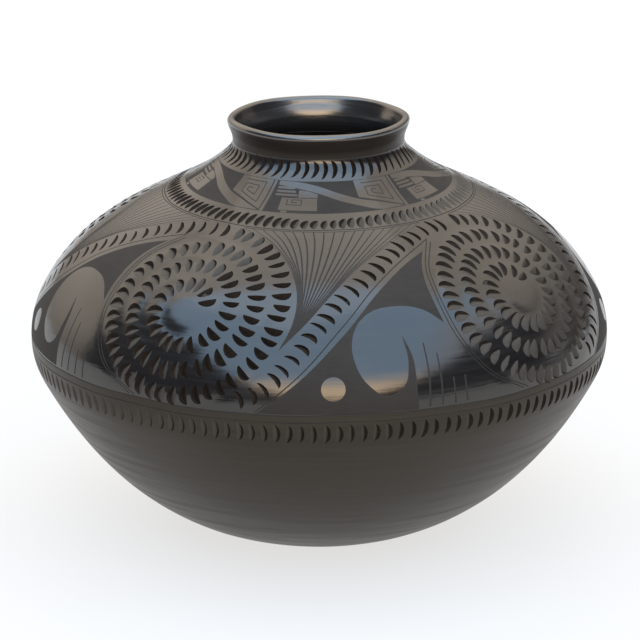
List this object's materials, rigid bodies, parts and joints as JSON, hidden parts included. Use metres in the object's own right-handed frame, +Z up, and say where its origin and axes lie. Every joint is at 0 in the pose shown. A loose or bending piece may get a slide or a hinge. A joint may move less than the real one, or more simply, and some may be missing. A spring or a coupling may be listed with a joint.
{
  "type": "olla",
  "caption": "Squat round-bellied earthenware jar with a short flared neck, rolled lip and small flat foot, raised from lapped clay coils.",
  "frame": {"origin": "centre of the flat foot, on the surface that the pot stands on", "axes": "+Z up along the pot's axis of turning; the pot is round, so X and Y are two level directions, with -Y towards the viewer of the picture and the first carved spiral 31 degrees to the viewer's left of it"},
  "size_m": [0.32, 0.32, 0.2353],
  "materials": {
    "unglazed_base": "rough, smoke-blackened unglazed earthenware",
    "satin_black": "stone-burnished satin black",
    "burnished_black": "polished graphite black with matte carved ornament"
  },
  "bodies": {
    "root": {"base_dish": "unglazed_base", "lower_bowl_coil": "satin_black", "upper_bowl_coil": "satin_black", "belly_coil": "burnished_black", "lower_shoulder_coil": "burnished_black", "upper_shoulder_coil": "burnished_black", "neck_coil": "burnished_black", "lip_coil": "burnished_black"}
  },
  "joints": []
}
